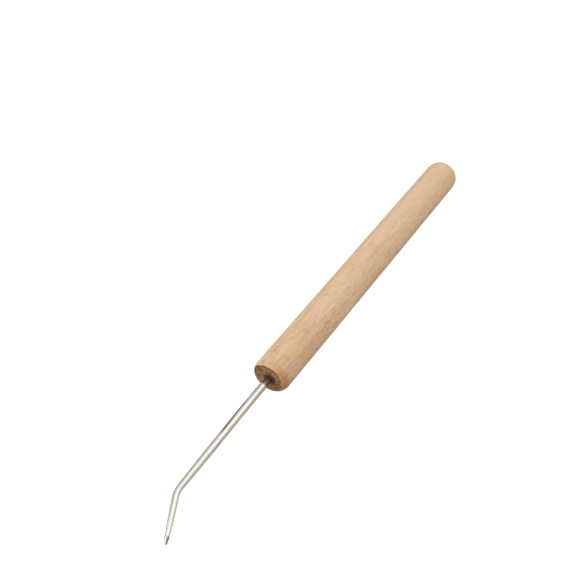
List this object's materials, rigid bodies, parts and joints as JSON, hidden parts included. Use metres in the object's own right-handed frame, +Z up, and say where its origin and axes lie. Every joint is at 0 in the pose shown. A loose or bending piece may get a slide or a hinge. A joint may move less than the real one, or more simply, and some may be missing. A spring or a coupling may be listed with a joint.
{
  "type": "uncapping needle",
  "caption": "Straight round wooden handle with a thin bent steel needle fixed in its end, for lifting the cappings of single honeycomb cells.",
  "frame": {"origin": "on the table, below the middle of the tool's length and width as it lies at rest", "axes": "+X along the handle from the needle to the butt, +Z up from the table, tip towards -Y"},
  "size_m": [0.1774, 0.012, 0.012],
  "materials": {
    "beech": "unvarnished sanded beech, fine lengthwise pores and flecks, darker end grain",
    "steel_wire": "bright drawn wire, polished, with faint lengthwise lines and a ground point",
    "cured_glue": "dark brown cured glue, slightly glossy"
  },
  "bodies": {
    "root": {"handle": "beech", "needle": "steel_wire", "tang_adhesive": "cured_glue"}
  },
  "joints": []
}
